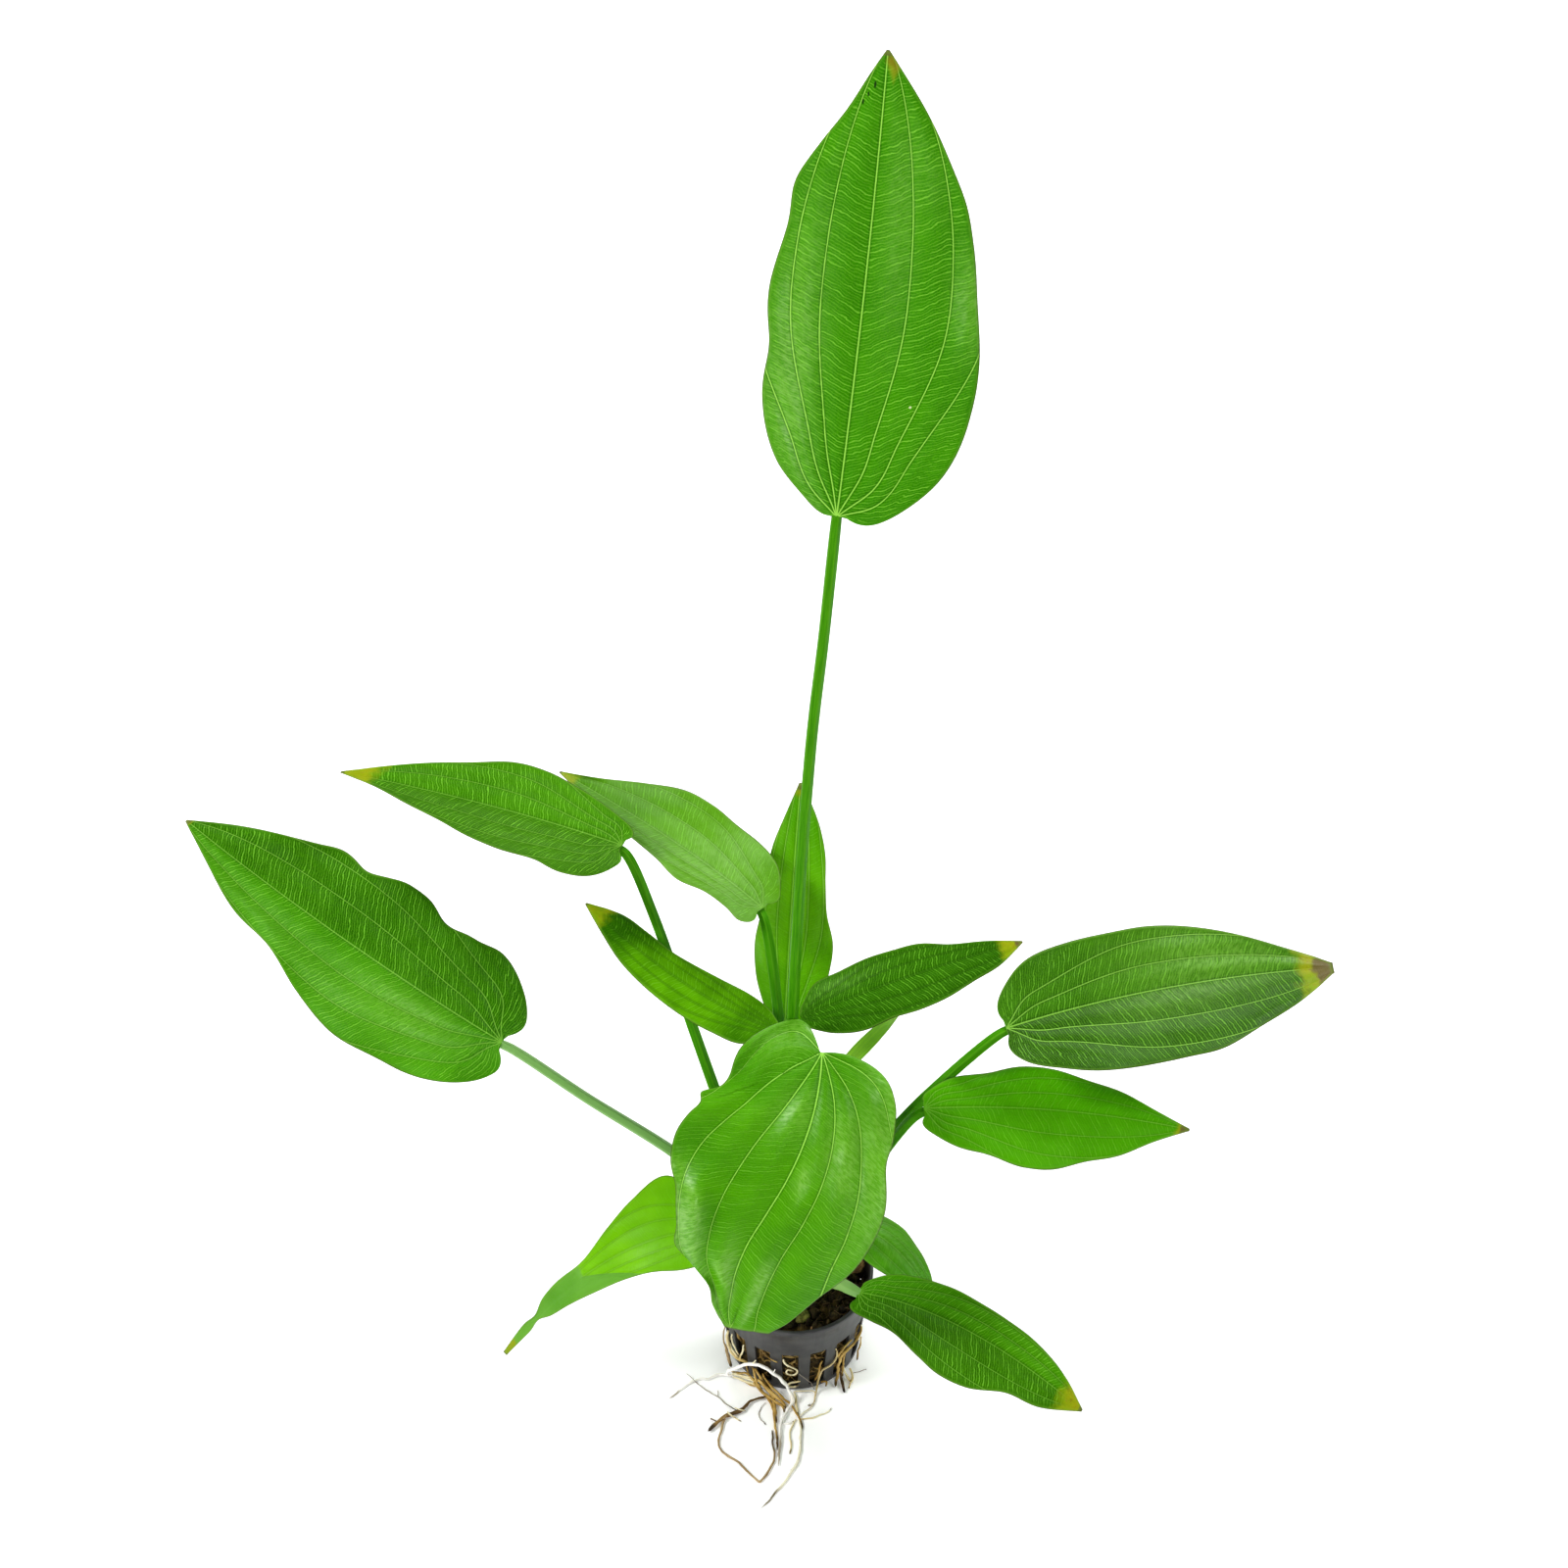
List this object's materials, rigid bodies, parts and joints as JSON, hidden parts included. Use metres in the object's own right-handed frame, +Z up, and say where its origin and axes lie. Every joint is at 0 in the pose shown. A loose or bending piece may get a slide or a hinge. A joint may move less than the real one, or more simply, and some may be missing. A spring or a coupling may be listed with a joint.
{
  "type": "potted echinodorus aquarium plant",
  "caption": "Echinodorus aquarium plant with long-stalked ovate green leaves, rooted in a slotted black net pot.",
  "frame": {"origin": "middle of the pot's flat underside, on the surface it stands on", "axes": "+Z up along the pot's axis, -Y towards the side shown in front, +X to the right of that side"},
  "size_m": [0.3625, 0.1699, 0.4551],
  "materials": {
    "pot_plastic": "satin black",
    "medium_fibre": "rough fibrous",
    "crown_tissue": "rough",
    "stalk_green": "satin",
    "leaf_green": "semi-gloss",
    "root_cream": "matte"
  },
  "bodies": {
    "root": {"net_pot": "pot_plastic", "growing_medium": "medium_fibre", "crown": "crown_tissue", "stalk_tall": "stalk_green", "leaf_tall": "leaf_green", "stalk_far_left": "stalk_green", "leaf_far_left": "leaf_green", "stalk_upper_left": "stalk_green", "leaf_upper_left": "leaf_green", "stalk_middle_left": "stalk_green", "leaf_middle_left": "leaf_green", "stalk_inner_left": "stalk_green", "leaf_inner_left": "leaf_green", "stalk_upright_behind": "stalk_green", "leaf_upright_behind": "leaf_green", "stalk_inner_right": "stalk_green", "leaf_inner_right": "leaf_green", "stalk_big_right": "stalk_green", "leaf_big_right": "leaf_green", "stalk_lower_right": "stalk_green", "leaf_lower_right": "leaf_green", "stalk_young": "stalk_green", "leaf_young": "leaf_green", "stalk_front": "stalk_green", "leaf_front": "leaf_green", "stalk_low_left": "stalk_green", "leaf_low_left": "leaf_green", "stalk_low_right": "stalk_green", "leaf_low_right": "leaf_green", "stalk_low_right_behind": "stalk_green", "leaf_low_right_behind": "leaf_green", "root_white": "root_cream", "root_golden": "root_cream", "root_brown": "root_cream", "root_loop": "root_cream", "root_long": "root_cream", "root_side": "root_cream", "root_left": "root_cream", "root_left_wall": "root_cream", "root_right_wall": "root_cream"}
  },
  "joints": []
}
